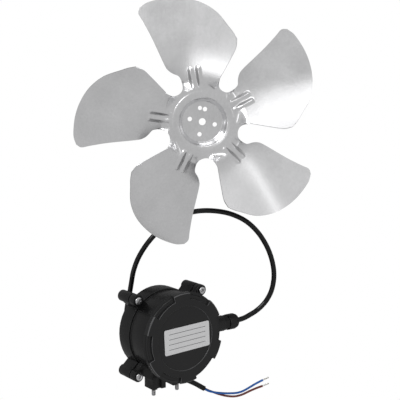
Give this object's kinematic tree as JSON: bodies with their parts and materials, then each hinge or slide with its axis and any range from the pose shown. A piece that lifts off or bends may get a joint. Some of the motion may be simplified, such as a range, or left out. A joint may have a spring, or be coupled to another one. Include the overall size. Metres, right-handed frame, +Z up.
{
  "type": "condenser fan motor",
  "caption": "Closed round motor with a supply cord, four ears and two foot studs, and the pressed axial impeller that its hub drives, laid out on a bench.",
  "frame": {"origin": "middle of the set's footprint, without its cord, at the height of the bench it lies on", "axes": "+Z up from the bench, +Y from the motor towards the impeller, +X towards the side of the motor where its cord leaves"},
  "size_m": [0.241, 0.4112, 0.09],
  "materials": {
    "black_plastic": "fine moulded texture",
    "cover_plastic": "fine moulded texture",
    "seal_rubber": "matt rubber",
    "cord_jacket": "smooth flexible sheath",
    "blue_core": "smooth insulation",
    "brown_core": "smooth insulation",
    "tinned_copper": "tinned strands",
    "pressed_aluminium": "satin rolled sheet",
    "bright_steel": "bright zinc plated or ground",
    "plated_brass": "turned",
    "nameplate": "silver satin plate, bare",
    "electrical_steel": "stacked laminations",
    "copper_winding": "enamelled copper wire",
    "insulation": "moulded insulator",
    "magnet": "bonded magnet",
    "board": "solder resist",
    "component": "moulded electronic part"
  },
  "bodies": {
    "motor": {"blue_core": "blue_core", "blue_tinned_end": "tinned_copper", "board_screw_1": "bright_steel", "board_screw_2": "bright_steel", "board_screw_3": "bright_steel", "brown_core": "brown_core", "brown_tinned_end": "tinned_copper", "circuit_board": "board", "cord_inner_end": "cord_jacket", "cord_jacket": "cord_jacket", "cover_gasket": "seal_rubber", "foot_insert_1": "plated_brass", "foot_insert_2": "plated_brass", "foot_stud_1": "bright_steel", "foot_stud_2": "bright_steel", "front_bearing_outer_ring": "bright_steel", "front_insulator": "insulation", "front_shell": "black_plastic", "gland_body": "black_plastic", "gland_nut": "black_plastic", "gland_seal": "seal_rubber", "housing_screw_1": "bright_steel", "housing_screw_2": "bright_steel", "housing_screw_3": "bright_steel", "housing_screw_4": "bright_steel", "inner_lead_blue": "blue_core", "inner_lead_brown": "brown_core", "line_choke": "copper_winding", "nameplate": "nameplate", "power_module": "component", "preload_spring": "bright_steel", "rear_bearing_outer_ring": "bright_steel", "rear_cover": "cover_plastic", "rear_insulator": "insulation", "rear_shell": "black_plastic", "shaft_seal": "seal_rubber", "shell_gasket": "seal_rubber", "smoothing_capacitor": "component", "stator_core": "electrical_steel", "terminal_block": "insulation", "winding_1": "copper_winding", "winding_2": "copper_winding", "winding_3": "copper_winding", "winding_4": "copper_winding", "winding_5": "copper_winding", "winding_6": "copper_winding", "winding_7": "copper_winding", "winding_8": "copper_winding", "winding_9": "copper_winding"},
    "rotor": {"shaft": "bright_steel", "rotor_core": "electrical_steel", "rotor_magnet": "magnet", "fan_hub": "bright_steel", "front_bearing_inner_ring": "bright_steel", "rear_bearing_inner_ring": "bright_steel"},
    "front_balls": {"front_bearing_cage": "insulation"},
    "rear_balls": {"rear_bearing_cage": "insulation"},
    "impeller": {"impeller": "pressed_aluminium"}
  },
  "joints": [
    {"name": "rotor_spin", "type": "hinge", "parent": "motor", "child": "rotor", "pos_m": [-0.04194, -0.13096, 0.02155], "axis": [0.5002, 0, 0.8659], "continuous": true},
    {"name": "front_balls_spin", "type": "hinge", "parent": "motor", "child": "front_balls", "pos_m": [-0.04194, -0.13096, 0.02155], "axis": [0.5002, 0, 0.8659], "continuous": true},
    {"name": "rear_balls_spin", "type": "hinge", "parent": "motor", "child": "rear_balls", "pos_m": [-0.04194, -0.13096, 0.02155], "axis": [0.5002, 0, 0.8659], "continuous": true},
    {"name": "impeller_lift", "type": "slide", "parent": "motor", "child": "impeller", "axis": [0, 0, 1], "range_m": [0, 0.15]}
  ],
  "couplings": [
    {"joint": "front_balls_spin", "follows": "rotor_spin", "ratio": 0.3667},
    {"joint": "rear_balls_spin", "follows": "rotor_spin", "ratio": 0.3667}
  ]
}
